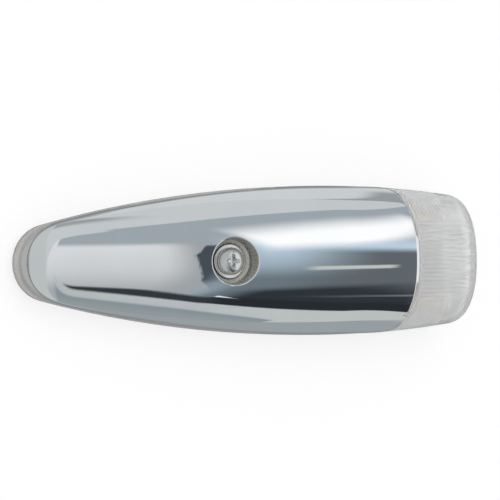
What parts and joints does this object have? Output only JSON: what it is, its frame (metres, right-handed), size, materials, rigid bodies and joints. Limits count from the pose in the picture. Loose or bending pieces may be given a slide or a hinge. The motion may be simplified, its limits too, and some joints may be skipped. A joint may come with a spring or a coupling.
{
  "type": "navigation light",
  "caption": "Teardrop-shaped surface-mounted navigation light: chromed screw-down cover, clear ribbed lens at the wide end, festoon bulb on a moulded base.",
  "frame": {"origin": "under the middle of the light, on the face of the gasket that goes against the boat", "axes": "+X along the light from its nose to its lens, +Y to its left seen from behind the nose, +Z out of the mounting face"},
  "size_m": [0.1512, 0.048, 0.0326],
  "materials": {
    "chrome": "polished",
    "clear_plastic": "clear, ribbed",
    "grey_plastic": "moulded, satin",
    "foam": "matt foam",
    "silicone": "matt, pale",
    "rubber": "matt",
    "stainless_steel": "bright",
    "brass": "bright",
    "plated_spring": "plated, satin",
    "nickel": "plated",
    "bulb_glass": "clear",
    "tungsten": "drawn wire"
  },
  "bodies": {
    "base_unit": {"base": "grey_plastic", "base_gasket": "foam", "rim_seal": "silicone", "cable_grommet": "rubber", "threaded_insert": "brass", "contact_strip_left": "brass", "contact_strip_right": "brass", "bulb_clip_left": "plated_spring", "bulb_clip_right": "plated_spring", "clip_rivet_left": "brass", "clip_rivet_right": "brass", "terminal_clamp_left": "stainless_steel", "terminal_clamp_right": "stainless_steel", "terminal_screw_left": "brass", "terminal_screw_right": "brass"},
    "lens_unit": {"lens": "clear_plastic"},
    "cover_unit": {"cover": "chrome", "screw_seal": "rubber"},
    "washer_unit": {"screw_washer": "stainless_steel"},
    "screw_unit": {"cover_screw": "stainless_steel"},
    "bulb_unit": {"bulb_glass": "bulb_glass", "bulb_cap_left": "nickel", "bulb_cap_right": "nickel", "bulb_filament": "tungsten"}
  },
  "joints": [
    {"name": "lens_lift", "type": "slide", "parent": "base_unit", "child": "lens_unit", "axis": [0, 0, 1], "range_m": [0, 0.035]},
    {"name": "cover_lift", "type": "slide", "parent": "lens_unit", "child": "cover_unit", "axis": [0, 0, 1], "range_m": [0, 0.04]},
    {"name": "screw_rise", "type": "slide", "parent": "cover_unit", "child": "washer_unit", "axis": [0, 0, 1], "range_m": [0, 0.0056]},
    {"name": "screw_turn", "type": "hinge", "parent": "washer_unit", "child": "screw_unit", "pos_m": [-0.0083, 0, 0.0189], "axis": [0, 0, 1], "range_deg": [0, 2520]},
    {"name": "bulb_lift", "type": "slide", "parent": "base_unit", "child": "bulb_unit", "axis": [0, 0, 1], "range_m": [0, 0.006]}
  ],
  "couplings": [
    {"joint": "screw_turn", "follows": "screw_rise", "rad_per_m": 7854}
  ]
}
